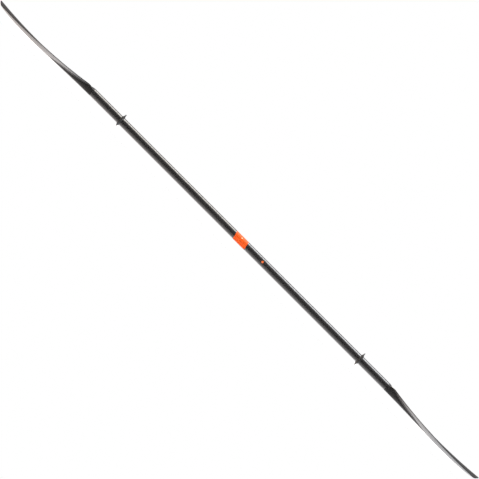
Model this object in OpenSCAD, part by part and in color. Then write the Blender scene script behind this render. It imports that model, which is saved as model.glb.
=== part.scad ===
// Two-piece double-bladed touring paddle with a push-button take-apart joint.
// +X runs along the shaft to the right-hand blade and +Z is the side that both
// power faces look to. The origin is on the shaft axis, midway between the tips.
// The right half is the one with the button. Lengths are in millimetres.

/* [Paddle] */
// Length over both blade tips
paddle_len = 2300; // [2200:10:2400]
// Length of a blade with its neck
blade_len = 450; // [440:1:470]

/* [Shaft] */
// Outside diameter of the shaft tubes
shaft_d = 29.5; // [29.2:0.1:30]
// Wall of the shaft tubes
shaft_wall = 1.2; // [1.0:0.05:1.2]
// Place of the joint between the two halves
seam_x = 40; // [40:1:44]
// Length of each foam bulkhead in the tubes
bulkhead_len = 25; // [15:1:30]

/* [Blade] */
// Widest width of a blade
blade_w = 164; // [155:1:175]
// Distance from the tip to where the blade is at its widest
widest_u = 240; // [225:5:255]
// Depth of the hollow across the power face
dish_depth = 10.5; // [6:0.5:12]
// Thickness at the middle of the blade
mid_thick = 5.5; // [5:0.5:7]
// Thickness at the blade's edge
edge_thick = 2; // [2:0.1:2.5]
// Thickness of each carbon skin
skin_thick = 0.8; // [0.6:0.1:0.8]
// Height of the blade's edge at the lowest point of its curve
low_z = -6.8; // [-10:0.1:-6]
// Distance from the tip to that lowest point
low_u = 187; // [165:1:195]
// Radius of the lengthwise curve between there and the tip
tip_curve_r = 1850; // [1800:1:2200]
// Radius of the lengthwise curve between there and the neck
neck_curve_r = 1400; // [1350:1:1600]

/* [Take-apart joint] */
// Outside diameter of the spigot
spigot_d = 20; // [20:0.1:20.2]
// Bore of the spigot
spigot_bore_d = 14; // [13:0.5:14]
// Length of the spigot beyond the joint
spigot_len = 115; // [100:1:118]
// Length of the spigot's sleeve inside the left tube
sleeve_len = 80; // [60:5:90]
// Length of the receiver inside the right tube
receiver_len = 125; // [122:1:130]
// Radial clearance between parts that slide or turn
running_gap = 0.05; // [0.03:0.01:0.08]
// Number of feather settings
index_count = 9; // [5:2:9]
// Angle between feather settings, in degrees
index_step = 15; // [15:1:16]

/* [Button and latch] */
// Place of the push button along the shaft
button_x = 108; // [100:1:110]
// Diameter of the push button
button_d = 9.2; // [8:0.1:9.6]
// How far the button stands out of the tube
button_proud = 0.85; // [0.5:0.05:1.2]
// Travel of the button
button_travel = 1.5; // [1.2:0.1:1.5]
// Radial thickness of the latch ring
latch_thick = 0.7; // [0.6:0.05:0.7]
// Width of the latch ring along the shaft
latch_w = 6; // [5:0.5:6]

/* [Drip rings] */
// Outside diameter of a drip ring
ring_d = 54.2; // [50:0.2:58]
// Width of a drip ring's hub
ring_hub_w = 10; // [8:0.5:12]
// Place of the left drip ring
left_ring_x = -566; // [-600:1:-540]
// Place of the right drip ring
right_ring_x = 571; // [540:1:600]

/* [Label] */
// Length of the label
label_len = 54; // [40:1:56]
// Place of the label's middle
label_x = 5; // [0:1:5]
// Slant of the label's ends, in degrees
label_slant = 12.6; // [0:0.2:14]
// Thickness of the label
label_thick = 0.23; // [0.15:0.01:0.4]

/* [Hidden] */
$fn = 96;

shaft_r = shaft_d / 2;
tube_r = shaft_r - shaft_wall;            // inside of the tubes
glue = 0.05;                              // bond line between fixed parts
bonded_r = tube_r - glue;                 // outside of what is bonded in a tube
neck_x = paddle_len / 2 - blade_len;      // where the shaft meets the blade
half_gap = 0.3;                           // free gap between the two halves
seam_bevel = 0.3;                         // bevel on the tubes' edges at the joint

// Take-apart joint
spigot_r = spigot_d / 2;
socket_r = spigot_r + running_gap;
index_hole_r = 1;
index_depth = 1.8;
seal_cord_r = 0.65;
seal_x = seam_x + 12;
cap_lip = 2;

// Latch ring: its middle is off the axis towards the button by half its travel,
// so that pressing the button moves the tooth on the far side out of its hole.
latch_clear = 0.15;
latch_r = spigot_r + latch_clear + button_travel / 2;
latch_outer_r = latch_r + latch_thick;
latch_shift = button_travel / 2;
pocket_r = latch_outer_r + button_travel / 2 + latch_clear;
tooth_r = 0.9;
button_seat = latch_outer_r + latch_shift + 0.1;
button_flange_len = 13;
button_top = shaft_r + button_proud;

// Blade
half_w = blade_w / 2;
root_half_w = 15;                         // half-width where the wings leave the neck
wing_u = 446;                             // distance from the tip to that place
rib_u = 190;                              // distance from the tip to the rib's end
blend_len = 30;                           // length over which the neck turns into blade
tip_corner_r = 5;
tip_blunt = 1;                            // how much of that corner's arc is cut short
far_cut = 3;                              // how much the long edge draws in at the tip
tip_line_y = half_w - 9;                  // where the slanted tip starts
tip_slope = 2.8;                          // sideways run of the slanted tip per mm along
near_cut = 56;                            // how much the short edge draws in at the tip
near_blend = 20;
neck_dish = 0.5;                          // share of the hollow that is left near the neck
neck_crown = 0.8;                         // share of the back's rounding that is left there
flat_from = 190;                          // both grow shallower between these two
flat_to = 330;
plug_tail_r = 13;                         // neck plug, inside the blade's neck
plug_tail_len = 6;
core_v = 0.915;                           // share of the width that the core fills
rim_v = 0.92;                             // share of the width inside the back's rim

function clamp(v, low, high) = max(low, min(high, v));
function lerp(a, b, t) = a + (b - a) * t;
function soft_max(a, b, k) = (a + b + sqrt((a - b) * (a - b) + k * k)) / 2;
function soft_min(a, b, k) = (a + b - sqrt((a - b) * (a - b) + k * k)) / 2;
function ease(t) = (1 - cos(180 * clamp(t, 0, 1))) / 2;

// ---- blade shape: u is the distance from the tip, towards the neck ----

// Half-width of the blade, before the tip is cut off at a slant
function wing_half(u) =
    lerp(half_w, root_half_w, ease((u - widest_u) / (wing_u - widest_u)));

// Share of the way from the widest place to the tip
function tip_share(u) = clamp((widest_u - u) / widest_u, 0, 1);

// Long edge, at +Y, with the round corner that it ends in
function far_y(u) =
    let (short = max(0, tip_corner_r - tip_blunt - u),
         corner = sqrt(tip_corner_r ^ 2 - short ^ 2) - tip_corner_r)
    wing_half(u) - far_cut * tip_share(u) ^ 2 + corner;

// Short edge, at -Y, and the slanted tip that leads to it
function near_y(u) =
    u < widest_u
        ? soft_max(tip_line_y - tip_slope * u, near_cut * tip_share(u) ^ 1.3 - half_w,
                   near_blend)
        : -wing_half(u);

function mid_y(u) = (far_y(u) + near_y(u)) / 2;
function half_y(u) = (far_y(u) - near_y(u)) / 2;

// Height of the power face along its edge
function edge_z(u) =
    soft_min(low_z + (u - low_u) ^ 2 / (2 * (u < low_u ? tip_curve_r : neck_curve_r)),
             shaft_r - 0.6, 1);

// Depth of the hollow, which grows shallower towards the neck
function flatter(u) = ease((u - flat_from) / (flat_to - flat_from));
function dish(u) = dish_depth * lerp(1, neck_dish, flatter(u));

// Height of the power face at the share v of the half-width
function face_z(u, v) =
    edge_z(u) - dish(u) * (1 - ((mid_y(u) + half_y(u) * v) / wing_half(u)) ^ 2);

// Thickness, without the rib
function tip_ease(u) = clamp(u / 120, 0, 1) * (2 - clamp(u / 120, 0, 1));
function thick(u, v) =
    edge_thick + (mid_thick - edge_thick) * (1 - v * v) * tip_ease(u)
                 * lerp(1, neck_crown, flatter(u));
function under_z(u, v) = face_z(u, v) - thick(u, v);

// Rib on the back, which carries on the round of the shaft
function rib_half(u) =
    min(shaft_r * lerp(0.35, 1, clamp((u - rib_u) / (blade_len - rib_u), 0, 1)),
        half_y(u) * (u < widest_u ? 0.3 : 10));
function rib_foot(u) =
    lerp(-shaft_r, under_z(rib_u, 0), ((blade_len - u) / (blade_len - rib_u)) ^ 1.5);
function rib_depth(u) = u < rib_u ? 0 : max(0, under_z(u, 0) - rib_foot(u));

// A point that turns from the blade's own outline into the round of the neck
function necked(u, y, z, angle, r) =
    let (b = ease((blade_len - u) / blend_len))
    [lerp(r * sin(angle), y, b), lerp(r * cos(angle), z, b)];

// Points across the power face, lowered by drop, for the shares vs
function face_points(u, drop, vs) =
    [for (v = vs) necked(u, mid_y(u) + half_y(u) * v, face_z(u, v) - drop,
                         62 * v, shaft_r - drop)];

// Points across the back, from +Y to -Y, moved inwards by inset
side_steps = 3;
function back_half(u, inset, v_out, side) =
    let (v_rib = rib_half(u) / half_y(u))
    [for (i = [0:side_steps - 1])
        let (v = lerp(v_out, v_rib, i / side_steps), vc = min(v, 1))
        necked(u, mid_y(u) + side * half_y(u) * v, under_z(u, side * vc) + inset,
               side * (66 + 5 * i), shaft_r - inset)];
function back_rib(u, inset) =
    let (a = rib_half(u), v_rib = min(a / half_y(u), 1))
    [for (turn = [90:-30:-90])
        necked(u, mid_y(u) + a * (1 - inset / shaft_r) * sin(turn),
               under_z(u, v_rib * sin(turn)) + inset - rib_depth(u) * cos(turn),
               180 - 98 / 90 * turn, shaft_r - inset)];
function reversed(list) = [for (i = [len(list) - 1:-1:0]) list[i]];
function back_points(u, inset, v_out) =
    concat(back_half(u, inset, v_out, 1), back_rib(u, inset),
           reversed(back_half(u, inset, v_out, -1)));

face_shares = [-1, -rim_v, -0.66, -0.33, 0, 0.33, 0.66, rim_v, 1];
core_shares = [-core_v, -0.66, -0.33, 0, 0.33, 0.66, core_v];
function face_loop(u) =
    concat(face_points(u, 0, face_shares), reversed(face_points(u, skin_thick, face_shares)));
function back_loop(u) =
    let (lid = skin_thick + glue)
    concat(face_points(u, lid, [-1, -rim_v]),
           reversed(back_points(u, skin_thick, rim_v)),
           face_points(u, lid, [rim_v, 1]),
           back_points(u, 0, 1));
function core_loop(u) =
    concat(face_points(u, skin_thick + glue, core_shares),
           back_points(u, skin_thick + glue, core_v));

// Distances from the tip at which the blade's cross-sections are taken
tip_stations = 11;
neck_stations = 16;
tip_end = 150;
core_end = blade_len - plug_tail_len - glue;
stations = concat(
    [for (i = [0:tip_stations - 1]) tip_end * (i / tip_stations) ^ 1.7],
    [for (i = [0:neck_stations]) lerp(tip_end, core_end, i / neck_stations)],
    [blade_len - glue]);
core_stations = [for (i = [2:len(stations) - 2]) stations[i]];  // solid laminate at the tip

// Joins cross-sections into a solid. The way each patch is cut into triangles
// depends only on where its points lie, so touching solids are cut alike.
module loft(us, loops) {
    n = len(loops[0]);
    last = len(loops) - 1;
    points = [for (i = [0:last], p = loops[i]) [paddle_len / 2 - us[i], p[0], p[1]]];
    function rises(i, k) =
        let (p = loops[i][k], q = loops[i][(k + 1) % n])
        (q[0] - p[0]) + 0.01 * (q[1] - p[1]) > 0;
    sides = [for (i = [0:last - 1], k = [0:n - 1])
        let (a = i * n + k, b = i * n + (k + 1) % n, c = a + n, d = b + n)
        each rises(i, k) ? [[a, b, d], [a, d, c]] : [[a, b, c], [b, d, c]]];
    polyhedron(points, concat(sides, [[for (k = [n - 1:-1:0]) k]],
                              [[for (k = [0:n - 1]) last * n + k]]));
}

// ---- shapes used more than once ----

// A round bar along +X
module bar(x0, x1, r) {
    translate([x0, 0, 0]) rotate([0, 90, 0]) cylinder(h = x1 - x0, r = r);
}

module pipe(x0, x1, r_out, r_in) {
    difference() {
        bar(x0, x1, r_out);
        bar(x0 - 1, x1 + 1, r_in);
    }
}

// A shaft tube whose outer edges are bevelled by b0 and b1
module shaft_tube(x0, b0, x1, b1) {
    rotate([0, 90, 0]) rotate_extrude()
        polygon([[tube_r, x0], [shaft_r - b0, x0], if (b0 > 0) [shaft_r, x0 + b0],
                 if (b1 > 0) [shaft_r, x1 - b1], [shaft_r - b1, x1], [tube_r, x1]]);
}

// Puts its children at the button, with +Z pointing out of the tube towards -Y
module at_button() {
    translate([button_x, 0, 0]) rotate([90, 0, 0]) children();
}

// The right-hand neck plug: a wide end in the tube and a tail in the blade
module neck_plug() {
    bar(neck_x - 40, neck_x, bonded_r);
    bar(neck_x - 1, neck_x + plug_tail_len, plug_tail_r);
}

module blade_face() { loft(stations, [for (u = stations) face_loop(u)]); }
module blade_back() { loft(stations, [for (u = stations) back_loop(u)]); }
module blade_core() { loft(core_stations, [for (u = core_stations) core_loop(u)]); }

// Drip ring: a hub that flares into a thin flange
module drip_ring(x) {
    bore_r = shaft_r + running_gap;
    hub_r = bore_r + 1.4;
    w = ring_hub_w / 2;
    translate([x, 0, 0]) rotate([0, 90, 0]) rotate_extrude()
        polygon([[bore_r, -w], [hub_r - 0.4, -w], [hub_r, -w + 0.4],
                 [hub_r + 2.4, -2.6], [ring_d / 2 - 5, -1.4], [ring_d / 2 - 0.4, -1],
                 [ring_d / 2, -0.5], [ring_d / 2, 0.5], [ring_d / 2 - 0.4, 1],
                 [ring_d / 2 - 5, 1.4], [hub_r + 2.4, 2.6],
                 [hub_r, w - 0.4], [hub_r - 0.4, w], [bore_r, w]]);
}

// ---- left half ----

module left_shaft() { color("#1c1c1e") shaft_tube(-neck_x, 0, seam_x, seam_bevel); }

module left_neck_plug() { color("#6b6b66") mirror([1, 0, 0]) neck_plug(); }

module left_bulkhead() {
    color("#e8e0c8") bar(-110 - bulkhead_len, -110, bonded_r);
}

// Male half of the joint: a sleeve bonded in the tube, and the spigot
module spigot() {
    color("#3a3a3c") difference() {
        union() {
            bar(seam_x - sleeve_len, seam_x, bonded_r);
            bar(seam_x - 1, seam_x + spigot_len, spigot_r);
        }
        bar(seam_x - sleeve_len - 1, seam_x + spigot_len + 1, spigot_bore_d / 2);
        pipe(seal_x - seal_cord_r - running_gap, seal_x + seal_cord_r + running_gap,
             spigot_r + 1, spigot_r - 2 * seal_cord_r - running_gap);
        for (i = [0:index_count - 1])
            translate([button_x, 0, 0])
                rotate([(i - (index_count - 1) / 2) * index_step - 90, 0, 0])
                    translate([0, 0, spigot_r - index_depth]) cylinder(h = 4, r = index_hole_r);
    }
}

// Plug in the mouth of the hollow spigot
module spigot_cap() {
    end_x = seam_x + spigot_len;
    color("#2b2b2b") {
        bar(end_x - 10, end_x + glue + cap_lip, spigot_bore_d / 2 - glue);
        bar(end_x + glue, end_x + glue + cap_lip, spigot_r - 0.4);
    }
}

module label() {
    color("#ff7a1f") intersection() {
        pipe(label_x - label_len, label_x + label_len,
             shaft_r + 0.02 + label_thick, shaft_r + 0.02);
        translate([label_x, 0, 0]) rotate([0, -label_slant, 0])
            cube([label_len * cos(label_slant), 4 * shaft_r, 4 * shaft_r], center = true);
    }
}

module left_drip_ring() { color("#161616") drip_ring(left_ring_x); }

module left_blade_face() { color("#2a2926") mirror([1, 0, 0]) blade_face(); }
module left_blade_back() { color("#33312d") mirror([1, 0, 0]) blade_back(); }
module left_blade_core() { color("#e8e0c8") mirror([1, 0, 0]) blade_core(); }

// O-ring in the spigot's groove
module seal_ring() {
    color("#101010") translate([seal_x, 0, 0]) rotate([0, 90, 0]) rotate_extrude()
        translate([spigot_r - seal_cord_r, 0]) circle(r = seal_cord_r, $fn = 48);
}

// ---- right half ----

module right_shaft() {
    color("#1c1c1e") difference() {
        shaft_tube(seam_x + half_gap, seam_bevel, neck_x, 0);
        at_button() cylinder(h = 2 * shaft_r, r = button_d / 2 + 2 * running_gap);
    }
}

module right_neck_plug() { color("#6b6b66") neck_plug(); }

module right_bulkhead() {
    color("#e8e0c8") bar(190, 190 + bulkhead_len, bonded_r);
}

// Female half of the joint, with the latch ring's pocket and the button's window
module receiver() {
    color("#4a4a4c") difference() {
        pipe(seam_x + half_gap, seam_x + receiver_len, bonded_r, socket_r);
        bar(button_x - latch_w / 2 - 0.1, button_x + latch_w / 2 + 0.1, pocket_r);
        at_button() translate([-button_flange_len / 2 - 0.3, -button_d / 2 - 0.5, 0])
            cube([button_flange_len + 0.6, button_d + 1, shaft_r]);
    }
}

// Push button: a domed cap in the tube's hole and a flange that keeps it in
module release_button() {
    dome_r = 14;
    color("#ff7030") {
        intersection() {
            at_button() translate([0, 0, button_seat])
                cylinder(h = button_top - button_seat, r = button_d / 2);
            at_button() translate([0, 0, button_top - dome_r]) sphere(r = dome_r);
        }
        intersection() {
            at_button() translate([-button_flange_len / 2, -button_d / 2, button_seat])
                cube([button_flange_len, button_d, tube_r]);
            bar(button_x - button_flange_len, button_x + button_flange_len, tube_r - 0.15);
        }
    }
}

// Latch ring with its tooth in the middle index hole, on the side away from the button
module latch_ring() {
    color("#b9bcc0") at_button() {
        translate([0, 0, latch_shift]) rotate([0, 90, 0]) difference() {
            cylinder(h = latch_w, r = latch_outer_r, center = true);
            cylinder(h = latch_w + 1, r = latch_r, center = true);
        }
        translate([0, 0, -(spigot_r + latch_clear + latch_thick / 2)])
            cylinder(h = latch_thick / 2 + latch_clear + index_depth - 0.3, r = tooth_r);
    }
}

// Leaf spring between the latch ring and the wall of its pocket
module latch_spring() {
    leaf_r = 60;
    leaf_thick = 0.3;
    leaf_w = 5;
    reach = 6;
    lowest = spigot_r + latch_clear + latch_thick + 0.1;
    color("#b9bcc0") at_button() rotate([0, 90, 0]) intersection() {
        translate([lowest - leaf_r, 0, -leaf_w / 2]) difference() {
            cylinder(h = leaf_w, r = leaf_r + leaf_thick, $fn = 256);
            translate([0, 0, -1]) cylinder(h = leaf_w + 2, r = leaf_r, $fn = 256);
        }
        translate([0, -reach, -leaf_w]) cube([leaf_r, 2 * reach, 2 * leaf_w]);
    }
}

module right_drip_ring() { color("#161616") drip_ring(right_ring_x); }

module right_blade_face() { color("#2a2926") blade_face(); }
module right_blade_back() { color("#33312d") blade_back(); }
module right_blade_core() { color("#e8e0c8") blade_core(); }

left_shaft();
right_shaft();
left_neck_plug();
right_neck_plug();
left_bulkhead();
right_bulkhead();
spigot();
spigot_cap();
receiver();
seal_ring();
release_button();
latch_ring();
latch_spring();
label();
left_drip_ring();
right_drip_ring();
left_blade_face();
left_blade_back();
left_blade_core();
right_blade_face();
right_blade_back();
right_blade_core();
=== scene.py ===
"""Two-piece double-bladed touring paddle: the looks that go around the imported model."""

import math

import bmesh
import bpy
from bpy.props import FloatProperty, FloatVectorProperty, IntProperty, PointerProperty
from mathutils import Matrix, Vector


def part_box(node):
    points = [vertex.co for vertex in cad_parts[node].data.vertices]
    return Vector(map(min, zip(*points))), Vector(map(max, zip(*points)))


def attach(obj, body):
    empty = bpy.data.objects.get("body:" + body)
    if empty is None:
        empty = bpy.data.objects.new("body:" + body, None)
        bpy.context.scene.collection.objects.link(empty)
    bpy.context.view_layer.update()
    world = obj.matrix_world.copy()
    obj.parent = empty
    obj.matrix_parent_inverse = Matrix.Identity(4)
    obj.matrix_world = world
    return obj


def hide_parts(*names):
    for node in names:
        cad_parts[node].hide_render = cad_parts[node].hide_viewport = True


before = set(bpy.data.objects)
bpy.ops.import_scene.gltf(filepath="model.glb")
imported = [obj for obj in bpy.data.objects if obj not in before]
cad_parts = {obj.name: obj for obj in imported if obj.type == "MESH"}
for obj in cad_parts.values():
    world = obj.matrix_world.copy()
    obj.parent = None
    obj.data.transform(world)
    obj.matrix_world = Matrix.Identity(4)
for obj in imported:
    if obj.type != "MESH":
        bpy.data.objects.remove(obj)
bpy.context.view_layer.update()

bl_info = {
    "name": "Touring Paddle",
    "version": (1, 0, 0),
    "blender": (4, 5, 0),
    "location": "3D View > Sidebar > Paddle",
    "description": "Builds the visible pieces of a two-piece double-bladed paddle",
    "category": "Object",
}

MM = 0.001
SHAFT_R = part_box("left_shaft")[1].z
TIP_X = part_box("right_blade_face")[1].x
NECK_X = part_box("right_shaft")[1].x
BLADE_LEN = TIP_X - NECK_X
HALF_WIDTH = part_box("right_blade_face")[1].y
RING_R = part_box("left_drip_ring")[1].z
LABEL_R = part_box("label")[1].z
GLUE = 0.05 * MM
SIDES = {"left": -1, "right": 1}


def linear(code):
    """A colour in linear light, with alpha, from its sRGB hex code, such as 'ff6a14'."""
    parts = [int(code[i:i + 2], 16) / 255 for i in (0, 2, 4)]
    return [c / 12.92 if c <= 0.04045 else ((c + 0.055) / 1.055) ** 2.4 for c in parts] + [1.0]


def clamp(value, low=0.0, high=1.0):
    return max(low, min(high, value))


def lerp(a, b, t):
    return a + (b - a) * t


def ease(t):
    """Goes from 0 to 1 as t does, with a level start and end."""
    return (1 - math.cos(math.pi * clamp(t))) / 2


def soft_max(a, b, k):
    return (a + b + math.hypot(a - b, k)) / 2


def soft_min(a, b, k):
    return (a + b - math.hypot(a - b, k)) / 2


# ---------------------------------------------------------------- settings

class PaddleBladeSettings(bpy.types.PropertyGroup):
    """Shape of a blade. Distances along it are measured from the tip."""

    widest: FloatProperty(
        name="Widest place", description="Distance from the tip to the widest place",
        default=240 * MM, unit="LENGTH")
    dish: FloatProperty(
        name="Dish", description="Depth of the hollow across the power face",
        default=10.5 * MM, unit="LENGTH")
    mid_thick: FloatProperty(
        name="Middle thickness", description="Thickness at the middle of the blade",
        default=5.5 * MM, unit="LENGTH")
    edge_thick: FloatProperty(
        name="Edge thickness", description="Thickness at the blade's edge",
        default=2 * MM, unit="LENGTH")
    skin: FloatProperty(
        name="Skin", description="Thickness of each carbon skin",
        default=0.8 * MM, unit="LENGTH")
    low_height: FloatProperty(
        name="Lowest height", description="Height of the edge at the lowest point of its curve",
        default=-6.8 * MM, unit="LENGTH")
    low_place: FloatProperty(
        name="Lowest place", description="Distance from the tip to that lowest point",
        default=187 * MM, unit="LENGTH")
    tip_curve: FloatProperty(
        name="Tip curve", description="Radius of the lengthwise curve towards the tip",
        default=1850 * MM, unit="LENGTH")
    neck_curve: FloatProperty(
        name="Neck curve", description="Radius of the lengthwise curve towards the neck",
        default=1400 * MM, unit="LENGTH")
    corner: FloatProperty(
        name="Tip corner", description="Radius of the corner between the long edge and the tip",
        default=5 * MM, unit="LENGTH")
    edge_round: FloatProperty(
        name="Edge rounding", description="Radius that the blade's edges are sanded to",
        default=0.45 * MM, unit="LENGTH")
    stations: IntProperty(
        name="Stations", description="Cross-sections between the tip and the neck", default=104)


class PaddleFittingSettings(bpy.types.PropertyGroup):
    """Sizes of the drip rings, the label and the button."""

    hub_half: FloatProperty(
        name="Half hub", description="Half the width of a drip ring's hub",
        default=5 * MM, unit="LENGTH")
    rim_half: FloatProperty(
        name="Half rim", description="Half the thickness of a drip ring at its rim",
        default=1 * MM, unit="LENGTH")
    label_slant: FloatProperty(
        name="Label slant", description="Slant of the label's ends",
        default=math.radians(12.6), subtype="ANGLE")
    mark: FloatProperty(
        name="Label mark", description="Diameter of the plain dot printed on the label",
        default=3.6 * MM, unit="LENGTH")
    dome: FloatProperty(
        name="Button dome", description="Radius of the button's domed top",
        default=14 * MM, unit="LENGTH")


class PaddleFinishSettings(bpy.types.PropertyGroup):
    """Colours and weave sizes."""

    tow: FloatProperty(
        name="Tow width", description="Width of a tow in the twill of the blades",
        default=2.2 * MM, unit="LENGTH")
    tows_round: IntProperty(
        name="Tows round the shaft", description="Tows in one turn of the braided shaft",
        default=32)
    # Lighter carbon colour, painted on the tows on top and on their crowns as a painted sheen.
    carbon: FloatVectorProperty(
        name="Carbon", description="Colour of the carbon fibres", subtype="COLOR",
        size=4, default=linear("272626"))
    # Darker carbon colour, painted on the crossing tows and in the dips between tows as painted
    # shade.
    carbon_painted_shade: FloatVectorProperty(
        name="Carbon, crossing", description="Colour of the tows that run the other way",
        subtype="COLOR", size=4, default=linear("1a191a"))
    label: FloatVectorProperty(
        name="Label", description="Colour of the vinyl label", subtype="COLOR",
        size=4, default=linear("c94b12"))
    button: FloatVectorProperty(
        name="Button", description="Colour of the push button", subtype="COLOR",
        size=4, default=linear("e86a2c"))


class PaddleStageSettings(bpy.types.PropertyGroup):
    """Camera, floor and lights."""

    distance: FloatProperty(
        name="Camera distance", description="Distance from the camera to the paddle",
        default=6.7, unit="LENGTH")
    roll: FloatProperty(
        name="Camera roll", description="How far the paddle is tilted in the picture",
        default=math.radians(45), subtype="ANGLE")
    view_width: FloatProperty(
        name="View width", description="Width of what the camera sees at the paddle",
        default=1.6135, unit="LENGTH")
    lamp_height: FloatProperty(
        name="Lamp height", description="Height of the strip lamps above the paddle",
        default=1.5, unit="LENGTH")


# ---------------------------------------------------------------- making objects

def finished_object(name, bm, material, body, replaced):
    """Turns a bmesh into a piece that rides on its body and stands for CAD nodes."""
    mesh = bpy.data.meshes.new(name)
    bm.to_mesh(mesh)
    bm.free()
    mesh.shade_smooth()
    mesh.set_sharp_from_angle(angle=math.radians(40))
    mesh.materials.append(material)
    piece = bpy.data.objects.new(name, mesh)
    bpy.context.scene.collection.objects.link(piece)
    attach(piece, body)
    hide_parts(*replaced)
    return piece


def loft(bm, sections):
    """A closed skin: a grid with one row for each section, whose last column meets its first.

    A section is a list of points in order round the skin. The piece's UV map holds
    real lengths, along the paddle and round each section from its first point."""
    rows = len(sections)
    columns = len(sections[0])
    bmesh.ops.create_grid(bm, x_segments=rows - 1, y_segments=columns, size=1)
    lengths = [section_lengths(section) for section in sections]
    places = {}
    for vert in bm.verts:
        row = round((vert.co.x + 1) / 2 * (rows - 1))
        column = round((vert.co.y + 1) / 2 * columns)
        places[vert] = (row, column)
        vert.co = sections[row][column % columns]
    uv_layer = bm.loops.layers.uv.new("lengths")
    for face in bm.faces:
        for corner in face.loops:
            row, column = places[corner.vert]
            corner[uv_layer].uv = (corner.vert.co.x, lengths[row][column])
    bmesh.ops.remove_doubles(bm, verts=bm.verts, dist=1e-7)
    rims = [e for e in bm.edges if e.is_boundary]
    bmesh.ops.holes_fill(bm, edges=rims, sides=0)
    bmesh.ops.recalc_face_normals(bm, faces=bm.faces)


def section_lengths(section):
    """Length round a section to each of its points, the first point once more at the end."""
    total = 0.0
    lengths = [0.0]
    for a, b in zip(section, section[1:] + section[:1]):
        total += (Vector(b) - Vector(a)).length
        lengths.append(total)
    return lengths


# ---------------------------------------------------------------- blades

class BladeForm:
    """Cross-sections of a blade; u is the distance from the tip, v the share of the width."""

    ROOT_HALF = 15 * MM         # half-width where the wings leave the neck
    WING_LEN = 446 * MM         # distance from the tip to that place
    RIB_END = 190 * MM          # distance from the tip to the rib's end
    NECK_BLEND = 30 * MM        # length over which the neck turns into blade
    TIP_BLUNT = 1 * MM          # how much of the corner's arc is cut short
    FAR_CUT = 3 * MM            # how much the long edge draws in at the tip
    TIP_LINE = HALF_WIDTH - 9 * MM  # where the slanted tip's line starts, at the tip
    TIP_SLOPE = 2.8             # sideways run of the slanted tip per metre along
    NEAR_CUT = 56 * MM          # how much the short edge draws in at the tip
    NEAR_POWER = 1.3            # how suddenly it does so
    NEAR_BLEND = 20 * MM        # how softly the slanted tip turns into the short edge
    NECK_DISH = 0.5             # share of the hollow that is left near the neck
    NECK_CROWN = 0.8            # share of the back's rounding that is left there
    FLAT_FROM = 190 * MM        # both grow shallower between these distances
    FLAT_TO = 330 * MM
    NECK_DROP = 0.6 * MM        # the wing's edge ends this far under the top of the shaft
    TIP_ZONE = 120 * MM         # the middle thins out over this length
    TIP_END = 150 * MM          # sections are closer together up to here
    RIM_SHARE = 0.92            # share of the width inside the back skin's rim
    RIB_NARROW = 0.35           # width of the rib at its end, as a share of the shaft's
    RIB_LIMIT = 0.3             # and its largest share of the blade's width towards the tip
    RIB_POWER = 1.5             # how the rib thins out: 1 is a straight line
    ROUND_LIMIT = 0.8           # largest share of the half-width that an edge is rounded over
    BACK_ROUND = 1.6            # how much rounder the back's edge is than the face's
    FACE_TURN = 62              # degrees from the top of the neck to the face's edge
    EDGE_TURN = 65              # to the back's edge
    RIB_TURN = 82               # and to the side of the rib

    def __init__(self, settings):
        self.s = settings

    def wing_half(self, u):
        s = self.s
        return lerp(HALF_WIDTH, self.ROOT_HALF, ease((u - s.widest) / (self.WING_LEN - s.widest)))

    def tip_share(self, u):
        return clamp((self.s.widest - u) / self.s.widest)

    def far_edge(self, u):
        """The long edge, with the round corner that it ends in."""
        corner = self.s.corner
        short = max(0.0, corner - self.TIP_BLUNT - u)
        inset = corner - math.sqrt(corner ** 2 - short ** 2)
        return self.wing_half(u) - self.FAR_CUT * self.tip_share(u) ** 2 - inset

    def near_edge(self, u):
        """The short edge, and the slanted tip that leads to it."""
        if u >= self.s.widest:
            return -self.wing_half(u)
        slanted = self.TIP_LINE - self.TIP_SLOPE * u
        side = self.NEAR_CUT * self.tip_share(u) ** self.NEAR_POWER - HALF_WIDTH
        return soft_max(slanted, side, self.NEAR_BLEND)

    def middle(self, u):
        return (self.far_edge(u) + self.near_edge(u)) / 2

    def half(self, u):
        return (self.far_edge(u) - self.near_edge(u)) / 2

    def edge_height(self, u):
        s = self.s
        radius = s.tip_curve if u < s.low_place else s.neck_curve
        height = s.low_height + (u - s.low_place) ** 2 / (2 * radius)
        return soft_min(height, SHAFT_R - self.NECK_DROP, MM)

    def flatter(self, u):
        return ease((u - self.FLAT_FROM) / (self.FLAT_TO - self.FLAT_FROM))

    def face_height(self, u, v):
        """Height of the power face."""
        dish = self.s.dish * lerp(1, self.NECK_DISH, self.flatter(u))
        across = (self.middle(u) + self.half(u) * v) / self.wing_half(u)
        return self.edge_height(u) - dish * (1 - across ** 2)

    def under_height(self, u, v):
        """Height of the back, away from the rib."""
        s = self.s
        t = clamp(u / self.TIP_ZONE)
        crown = (s.mid_thick - s.edge_thick) * lerp(1, self.NECK_CROWN, self.flatter(u))
        return self.face_height(u, v) - s.edge_thick - crown * (1 - v * v) * t * (2 - t)

    def rib_share(self, u):
        return clamp((u - self.RIB_END) / (BLADE_LEN - self.RIB_END))

    def rib_half(self, u):
        half = SHAFT_R * lerp(self.RIB_NARROW, 1, self.rib_share(u))
        return min(half, self.half(u) * self.RIB_LIMIT) if u < self.s.widest else half

    def rib_depth(self, u):
        """How far the rib stands out from the back."""
        if u < self.RIB_END:
            return 0.0
        away = (1 - self.rib_share(u)) ** self.RIB_POWER
        foot = lerp(-SHAFT_R, self.under_height(self.RIB_END, 0), away)
        return max(0.0, self.under_height(u, 0) - foot)

    def placed(self, u, y, z, angle, radius):
        """A point of the section, turned into the round of the neck near the shaft."""
        share = ease((BLADE_LEN - u) / self.NECK_BLEND)
        return Vector((TIP_X - u,
                       lerp(radius * math.sin(angle), y, share),
                       lerp(radius * math.cos(angle), z, share)))

    def face_point(self, u, v, drop):
        y = self.middle(u) + self.half(u) * v
        angle = math.radians(self.FACE_TURN * v)
        return self.placed(u, y, self.face_height(u, v) - drop, angle, SHAFT_R - drop)

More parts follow.
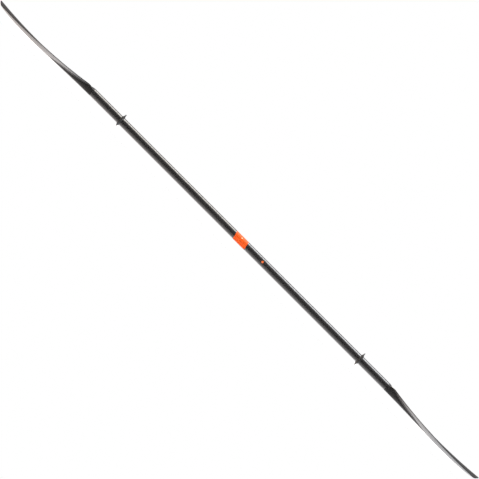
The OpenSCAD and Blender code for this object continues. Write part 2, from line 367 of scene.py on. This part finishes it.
    def face_section(self, u, steps=56, arc=4, under_steps=16):
        """Power-face skin: its top with rounded edges, then its underside."""
        skin = self.s.skin
        edge = min(self.s.edge_round, self.ROUND_LIMIT * self.half(u))
        reach = 1 - edge / self.half(u)
        top = [self.face_point(u, reach * (2 * i / steps - 1), 0) for i in range(steps + 1)]
        rounded = []
        for i in range(1, arc + 1):
            turn = math.radians(90 * i / arc)
            v = reach + (1 - reach) * math.sin(turn)
            rounded.append((v, edge * (1 - math.cos(turn))))
        right = [self.face_point(u, v, drop) for v, drop in rounded]
        left = [self.face_point(u, -v, drop) for v, drop in reversed(rounded)]
        under = [self.face_point(u, 1 - 2 * i / under_steps, skin)
                 for i in range(under_steps + 1)]
        return left + top + right + under

    def back_side(self, u, side, inset, reach, steps):
        """The back from its edge in to the rib, on one side."""
        v_rib = self.rib_half(u) / self.half(u)
        points = []
        for i in range(steps):
            v = lerp(reach, v_rib, i / steps)
            height = self.under_height(u, side * min(v, 1)) + inset
            angle = math.radians(side * lerp(self.EDGE_TURN, self.RIB_TURN, i / steps))
            y = self.middle(u) + side * self.half(u) * v
            points.append(self.placed(u, y, height, angle, SHAFT_R - inset))
        return points

    def back_rib(self, u, inset, steps):
        """The rib, which carries on the round of the shaft."""
        half = self.rib_half(u)
        share = min(half / self.half(u), 1)
        points = []
        for i in range(steps + 1):
            turn = math.radians(90 - 180 * i / steps)
            y = self.middle(u) + half * (1 - inset / SHAFT_R) * math.sin(turn)
            back = self.under_height(u, share * math.sin(turn))
            height = back + inset - self.rib_depth(u) * math.cos(turn)
            angle = math.pi - (180 - self.RIB_TURN) / 90 * turn
            points.append(self.placed(u, y, height, angle, SHAFT_R - inset))
        return points

    def back_section(self, u, steps=26, rib_steps=20, arc=4, inside_steps=6):
        """Back skin: its rim under the power face, its inside, and its outside."""
        skin = self.s.skin
        lid = skin + GLUE
        edge = min(self.s.edge_round * self.BACK_ROUND, self.ROUND_LIMIT * self.half(u))
        reach = 1 - edge / self.half(u)
        rim = self.RIM_SHARE
        inside = (self.back_side(u, 1, skin, rim, inside_steps)
                  + self.back_rib(u, skin, inside_steps + 2)
                  + self.back_side(u, -1, skin, rim, inside_steps)[::-1])
        outside = []
        for side in (1, -1):
            corner = []
            for i in range(arc):
                turn = math.radians(90 * i / arc)
                v = reach + (1 - reach) * math.cos(turn)
                height = self.under_height(u, side) + edge * (1 - math.sin(turn))
                y = self.middle(u) + side * self.half(u) * v
                angle = math.radians(side * self.EDGE_TURN)
                corner.append(self.placed(u, y, height, angle, SHAFT_R))
            outside.append(corner + self.back_side(u, side, 0, reach, steps))
        return ([self.face_point(u, v, lid) for v in (-1, -rim)] + inside[::-1]
                + [self.face_point(u, v, lid) for v in (rim, 1)]
                + outside[0] + self.back_rib(u, 0, rib_steps) + outside[1][::-1])

    def stations(self):
        """Distances from the tip, close together at the tip and even after that."""
        count = self.s.stations
        at_tip = count * 3 // 8
        first = [self.TIP_END * (i / at_tip) ** 2 for i in range(at_tip)]
        rest = count - at_tip
        return first + [lerp(self.TIP_END, BLADE_LEN - GLUE, i / rest) for i in range(rest + 1)]


class PADDLE_OT_add_blades(bpy.types.Operator):
    """Adds the power-face skin and the ribbed back skin of both blades"""

    bl_idname = "paddle.add_blades"
    bl_label = "Blades"

    def execute(self, context):
        form = BladeForm(context.scene.paddle_blade)
        material = woven_blade_material(context.scene.paddle_finish)
        for side, sign in SIDES.items():
            for skin, section in (("face", form.face_section), ("back", form.back_section)):
                bm = bmesh.new()
                loft(bm, [section(u) for u in form.stations()])
                if skin == "back":
                    soften_rib(bm, form)
                if sign < 0:
                    bmesh.ops.scale(bm, vec=(-1, 1, 1), verts=bm.verts)
                    bmesh.ops.recalc_face_normals(bm, faces=bm.faces)
                node = f"{side}_blade_{skin}"
                finished_object(f"{side}_{skin}_skin", bm, material, f"{side}_half",
                                [node])
        return {"FINISHED"}


def soften_rib(bm, form):
    """Rounds the crease on each side of the rib, as the cloth there lies in a fillet."""
    fillet = 5 * MM
    start = 0.8 * form.RIB_END
    end = BLADE_LEN - 4 * MM
    passes = 6
    near = []
    for vert in bm.verts:
        u = TIP_X - vert.co.x
        if not start < u < end:
            continue
        half = form.rib_half(u)
        share = min(half / form.half(u), 1)
        crease = form.under_height(u, share)
        off = abs(abs(vert.co.y - form.middle(u)) - half)
        if off < fillet and abs(vert.co.z - crease) < fillet:
            near.append(vert)
    for _ in range(passes):
        bmesh.ops.smooth_vert(bm, verts=near, factor=0.5, use_axis_y=True, use_axis_z=True)


# ---------------------------------------------------------------- drip rings

def spun(bm, outline, middle, axis, steps):
    """Spins a closed outline of (distance along the axis, radius) points into a solid."""
    across = Vector((0, 0, 1)) if abs(axis.z) < 0.5 else Vector((1, 0, 0))
    verts = [bm.verts.new(middle + axis * along + across * radius) for along, radius in outline]
    edges = [bm.edges.new(pair) for pair in zip(verts, verts[1:] + verts[:1])]
    bmesh.ops.spin(bm, geom=verts + edges, cent=middle, axis=axis, dvec=(0, 0, 0),
                   angle=2 * math.pi, steps=steps, use_merge=True, use_duplicate=False)
    bmesh.ops.remove_doubles(bm, verts=bm.verts, dist=1e-6)
    bmesh.ops.recalc_face_normals(bm, faces=bm.faces)


def ring_outline(fittings):
    """A drip ring's outline: a round-edged hub that flares into a thin flange."""
    bore = SHAFT_R + GLUE
    wall = 1.0 * MM
    hub = bore + wall
    roll = 0.6 * MM
    bevel = 0.4 * MM
    half = [(fittings.hub_half - bevel, bore), (fittings.hub_half, bore + bevel)]
    for i in range(6):
        turn = math.radians(90 * i / 5)
        half.append((fittings.hub_half - roll * (1 - math.cos(turn)), hub + roll * math.sin(turn)))
    flare = 18
    hollow = 2.6
    start = half[-1]
    for i in range(1, flare + 1):
        t = i / flare
        radius = lerp(start[1], RING_R - fittings.rim_half, t)
        half.append((lerp(fittings.rim_half, start[0], (1 - t) ** hollow), radius))
    for i in range(1, 6):
        turn = math.radians(90 * i / 5)
        half.append((fittings.rim_half * math.cos(turn),
                     RING_R - fittings.rim_half * (1 - math.sin(turn))))
    return half + [(-along, radius) for along, radius in half[-2::-1]]


class PADDLE_OT_add_drip_rings(bpy.types.Operator):
    """Adds the two rubber drip rings"""

    bl_idname = "paddle.add_drip_rings"
    bl_label = "Drip rings"

    def execute(self, context):
        material = rubber_material()
        outline = ring_outline(context.scene.paddle_fittings)
        for side in SIDES:
            low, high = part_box(f"{side}_drip_ring")
            bm = bmesh.new()
            spun(bm, outline, Vector(((low.x + high.x) / 2, 0, 0)), Vector((1, 0, 0)), 128)
            finished_object(f"{side}_ring_moulding", bm, material, f"{side}_ring",
                            [f"{side}_drip_ring"])
        return {"FINISHED"}


# ---------------------------------------------------------------- label

class PADDLE_OT_add_label(bpy.types.Operator):
    """Adds the vinyl label that is wrapped round the shaft"""

    bl_idname = "paddle.add_label"
    bl_label = "Label"

    def execute(self, context):
        fittings = context.scene.paddle_fittings
        low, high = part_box("label")
        slant = math.tan(fittings.label_slant)
        half = (high.x - low.x) / 2 - LABEL_R * slant
        middle = (low.x + high.x) / 2
        foot = SHAFT_R + 0.02 * MM
        lip = 0.08 * MM
        outline = [(-half, foot), (half, foot), (half, LABEL_R - lip), (half - lip, LABEL_R),
                   (-half + lip, LABEL_R), (-half, LABEL_R - lip)]
        bm = bmesh.new()
        spun(bm, outline, Vector((middle, 0, 0)), Vector((1, 0, 0)), 128)
        for vert in bm.verts:
            vert.co.x -= vert.co.z * slant
        material = label_material(context.scene.paddle_finish, fittings, middle)
        finished_object("wrapped_label", bm, material, "left_half", ["label"])
        return {"FINISHED"}


# ---------------------------------------------------------------- button

class PADDLE_OT_add_button(bpy.types.Operator):
    """Adds the domed push button and the flange that keeps it in the tube"""

    bl_idname = "paddle.add_button"
    bl_label = "Push button"

    def execute(self, context):
        fittings = context.scene.paddle_fittings
        low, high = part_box("release_button")
        radius = (high.z - low.z) / 2
        top = -low.y
        seat = -high.y
        middle = Vector(((low.x + high.x) / 2, 0, 0))
        bm = bmesh.new()
        spun(bm, self.cap_outline(radius, top, seat, fittings.dome), middle,
             Vector((0, -1, 0)), 72)
        self.add_flange(bm, middle, (high.x - low.x) / 2, radius, seat)
        material = button_material(context.scene.paddle_finish)
        finished_object("button_cap", bm, material, "button",
                        ["release_button"])
        return {"FINISHED"}

    def cap_outline(self, radius, top, seat, dome):
        """Outline of the cap from the middle of its dome to the middle of its foot."""
        roll = 0.5 * MM
        pole = 1e-5
        base = self.dome_height(radius - roll, top, dome) - roll
        points = [(seat, pole), (seat, radius), (base, radius)]
        for i in range(1, 5):
            turn = math.radians(90 * i / 4)
            r = radius - roll * (1 - math.cos(turn))
            points.append((base + roll * math.sin(turn), r))
        for i in range(1, 13):
            r = lerp(radius - roll, pole, i / 12)
            points.append((self.dome_height(r, top, dome), r))
        return points

    def dome_height(self, r, top, dome):
        return top - dome + math.sqrt(dome ** 2 - r ** 2)

    def add_flange(self, bm, middle, half_len, half_width, seat):
        """A plate under the cap, bent to the inside of the tube."""
        tube_wall = 1.35 * MM
        inside = SHAFT_R - tube_wall
        cap = set(bm.verts)
        bmesh.ops.create_cube(bm, size=2)
        upright = [e for e in bm.edges if not cap.intersection(e.verts)
                   and abs((e.verts[0].co - e.verts[1].co).z) > 1]
        bmesh.ops.subdivide_edges(bm, edges=upright, cuts=9, use_grid_fill=True)
        plate = [v for v in bm.verts if v not in cap]
        for vert in plate:
            z = vert.co.z * half_width
            outer = math.sqrt(inside ** 2 - z ** 2)
            y = -outer if vert.co.y < 0 else -seat
            vert.co = (middle.x + vert.co.x * half_len, y, z)
        bmesh.ops.recalc_face_normals(bm, faces=list({f for v in plate for f in v.link_faces}))


# ---------------------------------------------------------------- CAD parts

class PADDLE_OT_finish_cad_parts(bpy.types.Operator):
    """Gives every carried-over part its real material"""

    bl_idname = "paddle.finish_cad_parts"
    bl_label = "Tubes and inner parts"

    def execute(self, context):
        finish = context.scene.paddle_finish
        braid = braided_shaft_material(finish)
        laminate = laminate_material()
        foam = foam_material()
        steel = spring_steel_material()
        rubber = rubber_material()
        nylon = nylon_material()
        groups = {
            braid: ["left_shaft", "right_shaft"],
            laminate: ["spigot", "receiver", "left_neck_plug", "right_neck_plug"],
            foam: ["left_bulkhead", "right_bulkhead", "left_blade_core", "right_blade_core"],
            steel: ["latch_ring", "latch_spring"],
            rubber: ["seal_ring"],
            nylon: ["spigot_cap"],
        }
        for material, names in groups.items():
            for name in names:
                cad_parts[name].material_slots[0].material = material
        return {"FINISHED"}


# ---------------------------------------------------------------- materials

MATH = "ShaderNodeMath"
MIX = "ShaderNodeMix"
NOISE = "ShaderNodeTexNoise"
BUMP = "ShaderNodeBump"
COORDINATES = "ShaderNodeTexCoord"
SPLIT = "ShaderNodeSeparateXYZ"
PRINCIPLED = "ShaderNodeBsdfPrincipled"
SURFACE_OUT = "ShaderNodeOutputMaterial"


def new_material(name):
    """A material with an empty node tree."""
    material = bpy.data.materials.get(name) or bpy.data.materials.new(name)
    material.use_nodes = True
    material.node_tree.nodes.clear()
    return material, material.node_tree


def add_node(tree, kind, inputs, output=0, **settings):
    """Adds a node, sets its properties, sets or links its inputs, and gives one output."""
    node = tree.nodes.new(kind)
    for name, value in settings.items():
        setattr(node, name, value)
    for name, value in inputs.items():
        if isinstance(value, bpy.types.NodeSocket):
            tree.links.new(value, node.inputs[name])
        else:
            node.inputs[name].default_value = value
    return node.outputs[output] if node.outputs else None


def twill(tree, across_warp, across_weft):
    """Two-by-two twill from two lengths counted in tows.

    Gives which tow is on top, 0 or 1, and how high its rounded back stands, 0 to 1."""
    counts = []
    crowns = []
    for length in (across_warp, across_weft):
        counts.append(add_node(tree, MATH, {0: length}, operation="FLOOR"))
        share = add_node(tree, MATH, {0: length}, operation="FRACT")
        off = add_node(tree, MATH, {0: share, 1: 2.0, 2: -1.0}, operation="MULTIPLY_ADD")
        fall = add_node(tree, MATH, {0: off, 1: off}, operation="MULTIPLY")
        crowns.append(add_node(tree, MATH, {0: 1.0, 1: fall}, operation="SUBTRACT"))
    count = add_node(tree, MATH, {0: counts[0], 1: counts[1]}, operation="ADD")
    step = add_node(tree, MATH, {0: count, 1: 4.0}, operation="FLOORED_MODULO")
    on_top = add_node(tree, MATH, {0: step, 1: 1.5}, operation="LESS_THAN")
    crown = add_node(tree, MIX, {0: on_top, 2: crowns[1], 3: crowns[0]})
    return on_top, crown


def finish_weave(tree, finish, on_top, crown, position, coat, gloss, index):
    """Carbon tows pressed flat under a clear coat of epoxy; the tows on top are painted lighter as
    a painted sheen, the crossing tows and the dips at the tows' edges darker as painted shade.
    """
    streaks = add_node(tree, NOISE, {"Vector": position, "Scale": 1 / (40 * MM), "Detail": 3.0})
    # Painted sheen: the tows on top get the lighter carbon colour and the crossing tows the
    # darker, mixed with real random streaks along the fibre.
    sheen_and_streaks = add_node(tree, MIX, {0: 0.3, 2: on_top, 3: streaks})
    # Painted shade: each tow is painted darker towards its edges, where it dips under the next
    # tow.
    height = add_node(tree, MATH, {0: crown, 1: 0.35, 2: 0.65}, operation="MULTIPLY_ADD")
    shade = add_node(tree, MATH, {0: sheen_and_streaks, 1: height}, operation="MULTIPLY")
    colour = add_node(tree, MIX, {0: shade, 6: finish.carbon_painted_shade, 7: finish.carbon}, 2,
                      data_type="RGBA")
    normal = add_node(tree, BUMP, {"Strength": 0.5, "Distance": 0.08 * MM, "Height": crown})
    surface = add_node(tree, PRINCIPLED, {
        "Base Color": colour, "Roughness": 0.38, "Specular IOR Level": 0.15, "Normal": normal,
        "Coat Weight": coat, "Coat Roughness": gloss, "Coat IOR": index})
    add_node(tree, SURFACE_OUT, {"Surface": surface})


def braided_shaft_material(finish):
    """Carbon braid under gloss epoxy: crossing tows drawn with a painted sheen and painted shade,
    below a clear wet shine.
    """
    material, tree = new_material("braided carbon tube, gloss epoxy")
    position = add_node(tree, COORDINATES, {}, "Object")
    x, y, z = add_node(tree, SPLIT, {"Vector": position}).node.outputs
    angle = add_node(tree, MATH, {0: y, 1: z}, operation="ARCTAN2")
    tows = finish.tows_round / (2 * math.pi)
    around = add_node(tree, MATH, {0: angle, 1: tows}, operation="MULTIPLY")
    along = add_node(tree, MATH, {0: x, 1: tows / SHAFT_R}, operation="MULTIPLY")
    warp = add_node(tree, MATH, {0: along, 1: around}, operation="ADD")
    weft = add_node(tree, MATH, {0: along, 1: around}, operation="SUBTRACT")
    on_top, crown = twill(tree, warp, weft)
    finish_weave(tree, finish, on_top, crown, position, 1.0, 0.06, 1.5)
    return material


def woven_blade_material(finish):
    """Carbon twill cloth under satin epoxy, pressed in a mould: even, with a softer shine.
    The cloth wrapped over the joint with the shaft is left nearly matt."""
    material, tree = new_material("carbon twill laminate, satin epoxy")
    position = add_node(tree, COORDINATES, {}, "Object")
    lengths = add_node(tree, COORDINATES, {}, "UV")
    place = add_node(tree, SPLIT, {"Vector": position}, "X")
    out = add_node(tree, MATH, {0: place}, operation="ABSOLUTE")
    matt_end = NECK_X + 16 * MM
    satin_start = NECK_X + 50 * MM
    coat = add_node(tree, "ShaderNodeMapRange", {
        "Value": out, "From Min": matt_end, "From Max": satin_start,
        "To Min": 0.0, "To Max": 0.85})
    x, y, _ = add_node(tree, SPLIT, {"Vector": lengths}).node.outputs
    along = add_node(tree, MATH, {0: x, 1: finish.tow}, operation="DIVIDE")
    across = add_node(tree, MATH, {0: y, 1: finish.tow}, operation="DIVIDE")
    on_top, crown = twill(tree, along, across)
    finish_weave(tree, finish, on_top, crown, position, coat, 0.2, 1.3)
    return material


def rubber_material():
    """Moulded EPDM rubber: a dull deep black with a fine grain from the mould."""
    material, tree = new_material("moulded EPDM rubber")
    position = add_node(tree, COORDINATES, {}, "Object")
    grain = add_node(tree, NOISE, {"Vector": position, "Scale": 1 / (0.6 * MM), "Detail": 2.0})
    bloom = add_node(tree, NOISE, {"Vector": position, "Scale": 1 / (9 * MM), "Detail": 3.0})
    normal = add_node(tree, BUMP, {"Strength": 0.35, "Distance": 0.05 * MM, "Height": grain})
    roughness = add_node(tree, MATH, {0: bloom, 1: 0.2, 2: 0.42}, operation="MULTIPLY_ADD")
    colour = add_node(tree, MIX, {0: bloom, 6: linear("131313"), 7: linear("242322")}, 2,
                      data_type="RGBA")
    surface = add_node(tree, PRINCIPLED, {
        "Base Color": colour, "Roughness": roughness, "Specular IOR Level": 0.45,
        "Normal": normal})
    add_node(tree, SURFACE_OUT, {"Surface": surface})
    return material


def label_material(finish, fittings, middle):
    """Printed PVC film: a strong flat orange with a plain light mark and a soft sheen."""
    material, tree = new_material("printed PVC film")
    position = add_node(tree, COORDINATES, {}, "Object")
    x, y, z = add_node(tree, SPLIT, {"Vector": position}).node.outputs
    front = add_node(tree, MATH, {0: y, 1: -1.0}, operation="MULTIPLY")
    angle = add_node(tree, MATH, {0: z, 1: front}, operation="ARCTAN2")
    mark_x = middle - 2 * MM
    mark_height = 9 * MM
    height = add_node(tree, MATH, {0: angle, 1: LABEL_R, 2: -mark_height},
                      operation="MULTIPLY_ADD")
    along = add_node(tree, MATH, {0: x, 1: mark_x}, operation="SUBTRACT")
    flat = add_node(tree, "ShaderNodeCombineXYZ", {"X": along, "Y": height})
    reach = add_node(tree, "ShaderNodeVectorMath", {0: flat}, "Value", operation="LENGTH")
    dot = add_node(tree, MATH, {0: reach, 1: fittings.mark / 2}, operation="LESS_THAN")
    film = add_node(tree, NOISE, {"Vector": position, "Scale": 1 / (1.5 * MM), "Detail": 2.0})
    normal = add_node(tree, BUMP, {"Strength": 0.15, "Distance": 0.03 * MM, "Height": film})
    colour = add_node(tree, MIX, {0: dot, 6: finish.label, 7: linear("ffd9bd")}, 2,
                      data_type="RGBA")
    surface = add_node(tree, PRINCIPLED, {
        "Base Color": colour, "Roughness": 0.45, "Specular IOR Level": 0.14, "Normal": normal})
    add_node(tree, SURFACE_OUT, {"Surface": surface})
    return material


def button_material(finish):
    """Injection-moulded acetal: a saturated orange with a smooth low shine."""
    material, tree = new_material("moulded acetal")
    position = add_node(tree, COORDINATES, {}, "Object")
    grain = add_node(tree, NOISE, {"Vector": position, "Scale": 1 / (0.4 * MM), "Detail": 2.0})
    normal = add_node(tree, BUMP, {"Strength": 0.2, "Distance": 0.03 * MM, "Height": grain})
    colour = add_node(tree, MIX, {0: grain, 6: linear("cf5f27"), 7: finish.button}, 2,
                      data_type="RGBA")
    surface = add_node(tree, PRINCIPLED, {
        "Base Color": colour, "Roughness": 0.38, "Specular IOR Level": 0.5, "Normal": normal})
    add_node(tree, SURFACE_OUT, {"Surface": surface})
    return material


def laminate_material():
    """Wound glass-fibre tube, ground to size: dark, satin, with fine rings from the grinder."""
    material, tree = new_material("wound glass-fibre tube, ground")
    position = add_node(tree, COORDINATES, {}, "Object")
    x = add_node(tree, SPLIT, {"Vector": position}, "X")
    turn = add_node(tree, MATH, {0: x, 1: 2 * math.pi / (0.5 * MM)}, operation="MULTIPLY")
    ring = add_node(tree, MATH, {0: turn}, operation="SINE")
    cloud = add_node(tree, NOISE, {"Vector": position, "Scale": 1 / (5 * MM), "Detail": 4.0})
    normal = add_node(tree, BUMP, {"Strength": 0.2, "Distance": 0.02 * MM, "Height": ring})
    roughness = add_node(tree, MATH, {0: cloud, 1: 0.2, 2: 0.35}, operation="MULTIPLY_ADD")
    colour = add_node(tree, MIX, {0: cloud, 6: linear("262a2a"), 7: linear("42463f")}, 2,
                      data_type="RGBA")
    surface = add_node(tree, PRINCIPLED, {
        "Base Color": colour, "Roughness": roughness, "Normal": normal})
    add_node(tree, SURFACE_OUT, {"Surface": surface})
    return material


def foam_material():
    """Closed-cell PVC foam, cut: a dry pale cream full of small cells."""
    material, tree = new_material("closed-cell PVC foam")
    position = add_node(tree, COORDINATES, {}, "Object")
    cells = add_node(tree, "ShaderNodeTexVoronoi", {"Vector": position, "Scale": 1 / (0.9 * MM)})
    normal = add_node(tree, BUMP, {"Strength": 0.6, "Distance": 0.2 * MM, "Height": cells})
    colour = add_node(tree, MIX, {0: cells, 6: linear("efe7cf"), 7: linear("c9bd9c")}, 2,
                      data_type="RGBA")
    surface = add_node(tree, PRINCIPLED, {
        "Base Color": colour, "Roughness": 0.9, "Specular IOR Level": 0.2, "Normal": normal})
    add_node(tree, SURFACE_OUT, {"Surface": surface})
    return material


def spring_steel_material():
    """Rolled stainless spring steel: bright, with fine lines along the strip."""
    material, tree = new_material("rolled stainless spring steel")
    position = add_node(tree, COORDINATES, {}, "Object")
    drawn = add_node(tree, "ShaderNodeMapping", {"Vector": position, "Scale": (20.0, 1.0, 1.0)})
    lines = add_node(tree, NOISE, {"Vector": drawn, "Scale": 1 / (3 * MM), "Detail": 3.0})
    roughness = add_node(tree, MATH, {0: lines, 1: 0.2, 2: 0.2}, operation="MULTIPLY_ADD")
    colour = add_node(tree, MIX, {0: lines, 6: linear("a9abae"), 7: linear("cfd1d3")}, 2,
                      data_type="RGBA")
    surface = add_node(tree, PRINCIPLED, {
        "Base Color": colour, "Metallic": 1.0, "Roughness": roughness})
    add_node(tree, SURFACE_OUT, {"Surface": surface})
    return material


def nylon_material():
    """Moulded black nylon: a soft charcoal black with a faint orange-peel."""
    material, tree = new_material("moulded nylon")
    position = add_node(tree, COORDINATES, {}, "Object")
    peel = add_node(tree, NOISE, {"Vector": position, "Scale": 1 / (1.2 * MM), "Detail": 2.0})
    normal = add_node(tree, BUMP, {"Strength": 0.3, "Distance": 0.04 * MM, "Height": peel})
    colour = add_node(tree, MIX, {0: peel, 6: linear("1b1b1c"), 7: linear("2b2b2c")}, 2,
                      data_type="RGBA")
    surface = add_node(tree, PRINCIPLED, {
        "Base Color": colour, "Roughness": 0.5, "Normal": normal})
    add_node(tree, SURFACE_OUT, {"Surface": surface})
    return material


# ---------------------------------------------------------------- stage

def floor_material(reach):
    """Pale studio floor that fades out with distance and is clear from underneath."""
    material, tree = new_material("painted studio floor")
    position = add_node(tree, COORDINATES, {}, "Object")
    paint = add_node(tree, PRINCIPLED, {
        "Base Color": linear("f2f2f0"), "Roughness": 0.9, "Specular IOR Level": 0.0})
    distance = add_node(tree, "ShaderNodeVectorMath", {0: position}, "Value", operation="LENGTH")
    fade = add_node(tree, "ShaderNodeMapRange", {
        "Value": distance, "From Min": reach * 0.55, "From Max": reach * 0.95},
        interpolation_type="SMOOTHSTEP")
    underneath = add_node(tree, "ShaderNodeNewGeometry", {}, "Backfacing")
    hidden = add_node(tree, MATH, {0: fade, 1: underneath}, operation="MAXIMUM")
    clear = add_node(tree, "ShaderNodeBsdfTransparent", {})
    surface = add_node(tree, "ShaderNodeMixShader", {0: hidden, 1: paint, 2: clear})
    add_node(tree, SURFACE_OUT, {"Surface": surface})
    return material


def studio_world():
    """White behind the paddle; its reflections see a bright sweep below, above and behind,
    and a dark room in front, warmer towards the left and cooler towards the right."""
    world = bpy.data.worlds.new("studio")
    world.use_nodes = True
    tree = world.node_tree
    tree.nodes.clear()
    direction = add_node(tree, COORDINATES, {}, "Generated")
    x, y, z = add_node(tree, SPLIT, {"Vector": direction}).node.outputs
    front = add_node(tree, MATH, {0: y, 1: -1.0}, operation="MULTIPLY")
    angle = add_node(tree, MATH, {0: z, 1: front}, operation="ARCTAN2")
    share = add_node(tree, MATH, {0: angle, 1: 1 / (2 * math.pi), 2: 0.5},
                     operation="MULTIPLY_ADD")
    sweep_colour = add_node(tree, "ShaderNodeValToRGB", {0: share})
    elements = sweep_colour.node.color_ramp.elements
    brightest = 3.0
    # degrees above the line from the paddle to the camera, and how bright it is there
    sweep = [(-180, 1.0), (-165, 1.2), (-150, 1.6), (-132, 2.2), (-106, 2.5), (-90, 2.3),
             (-60, 1.6), (-38, 0.6), (-22, 0.12), (0, 0.08), (35, 0.15), (60, 0.9),
             (90, 2.8), (120, 2.1), (140, 0.6), (158, 0.1), (180, 0.06)]
    elements.remove(elements[1])
    for degrees, strength in sweep:
        stop = elements.new(degrees / 360 + 0.5) if degrees > -180 else elements[0]
        stop.color = (strength / brightest,) * 3 + (1,)
    side = add_node(tree, MATH, {0: x, 1: 1.2, 2: 0.5}, operation="MULTIPLY_ADD")
    tint = add_node(tree, MIX, {0: side, 6: linear("fff0e8"), 7: linear("f4f9ff")}, 2,
                    data_type="RGBA")
    tinted = add_node(tree, MIX, {0: 1.0, 6: sweep_colour, 7: tint}, 2,
                      data_type="RGBA", blend_type="MULTIPLY")
    room = add_node(tree, "ShaderNodeBackground", {"Color": tinted, "Strength": brightest})
    paper = add_node(tree, "ShaderNodeBackground", {"Color": linear("ffffff")})
    seen = add_node(tree, "ShaderNodeLightPath", {}, "Is Camera Ray")
    surface = add_node(tree, "ShaderNodeMixShader", {0: seen, 1: room, 2: paper})
    add_node(tree, "ShaderNodeOutputWorld", {"Surface": surface})
    return world


def add_lamp(name, place, size, radiance, colour, aim):
    """A rectangular lamp of the given radiance that shines towards a point."""
    lamp = bpy.data.lights.new(name, "AREA")
    lamp.shape = "RECTANGLE"
    lamp.size, lamp.size_y = size
    lamp.energy = radiance * math.pi * size[0] * size[1]
    lamp.color = colour
    holder = bpy.data.objects.new(name, lamp)
    holder.location = place
    holder.rotation_euler = (Vector(aim) - Vector(place)).to_track_quat("-Z", "Y").to_euler()
    holder.visible_camera = False
    bpy.context.scene.collection.objects.link(holder)


class PADDLE_OT_build_stage(bpy.types.Operator):
    """Adds the floor, the lamps, the white surround and the camera"""

    bl_idname = "paddle.build_stage"
    bl_label = "Stage and camera"

    def execute(self, context):
        stage = context.scene.paddle_stage
        reach = 3.6
        gap = 0.2 * MM
        bm = bmesh.new()
        bmesh.ops.create_grid(bm, x_segments=2, y_segments=2, size=reach)
        bmesh.ops.translate(bm, vec=(0, 0, -RING_R - gap), verts=bm.verts)
        mesh = bpy.data.meshes.new("floor")
        bm.to_mesh(mesh)
        bm.free()
        mesh.materials.append(floor_material(reach))
        floor = bpy.data.objects.new("floor", mesh)
        floor.visible_glossy = False
        context.scene.collection.objects.link(floor)
        self.add_lamps(stage)
        context.scene.world = studio_world()
        context.scene.view_settings.view_transform = "Standard"
        self.add_camera(context.scene, stage)
        return {"FINISHED"}

    def add_lamps(self, stage):
        """Two strips overhead, end to end, one a little warm and one a little cool."""
        height = stage.lamp_height
        length = 1.45
        width = 0.5
        forward = 0.02
        radiance = 14.0
        for name, side, colour in (("warm_strip", -1, (1.0, 0.98, 0.9)),
                                   ("cool_strip", 1, (0.94, 0.975, 1.0))):
            place = (side * length / 2, -forward, height)
            add_lamp(name, place, (length, width), radiance, colour, (place[0], place[1], 0))

    def add_camera(self, scene, stage):
        """A level camera in front of the paddle, rolled so that it crosses the picture."""
        data = bpy.data.cameras.new("camera")
        data.sensor_width = 36
        data.lens = data.sensor_width * stage.distance / stage.view_width
        right = Vector((math.cos(stage.roll), 0, math.sin(stage.roll)))
        up = Vector((-math.sin(stage.roll), 0, math.cos(stage.roll)))
        back = Vector((0, -1, 0))
        drop = 0.85 * MM
        camera = bpy.data.objects.new("camera", data)
        turn = Matrix((right, up, back)).transposed().to_4x4()
        place = back * stage.distance - Vector((0, 0, drop))
        camera.matrix_world = Matrix.Translation(place) @ turn
        data.clip_end = 100
        scene.collection.objects.link(camera)
        scene.camera = camera


# ---------------------------------------------------------------- add-on

class PADDLE_PT_sidebar(bpy.types.Panel):
    """Lists the paddle's pieces"""

    bl_idname = "PADDLE_PT_sidebar"
    bl_label = "Touring paddle"
    bl_space_type = "VIEW_3D"
    bl_region_type = "UI"
    bl_category = "Paddle"

    def draw(self, context):
        for maker in MAKERS:
            self.layout.operator(maker.bl_idname, text=maker.bl_label)


SETTINGS = {
    "paddle_blade": PaddleBladeSettings,
    "paddle_fittings": PaddleFittingSettings,
    "paddle_finish": PaddleFinishSettings,
    "paddle_stage": PaddleStageSettings,
}
MAKERS = (PADDLE_OT_add_blades, PADDLE_OT_add_drip_rings, PADDLE_OT_add_label,
          PADDLE_OT_add_button, PADDLE_OT_finish_cad_parts, PADDLE_OT_build_stage)


def register():
    for cls in (*SETTINGS.values(), *MAKERS, PADDLE_PT_sidebar):
        bpy.utils.register_class(cls)
    for name, cls in SETTINGS.items():
        setattr(bpy.types.Scene, name, PointerProperty(type=cls))


def unregister():
    for name in SETTINGS:
        delattr(bpy.types.Scene, name)
    for cls in (PADDLE_PT_sidebar, *reversed(MAKERS), *reversed(SETTINGS.values())):
        bpy.utils.unregister_class(cls)


def main():
    register()
    bpy.ops.paddle.add_blades()
    bpy.ops.paddle.add_drip_rings()
    bpy.ops.paddle.add_label()
    bpy.ops.paddle.add_button()
    bpy.ops.paddle.finish_cad_parts()
    bpy.ops.paddle.build_stage()


if __name__ == "__main__":
    main()
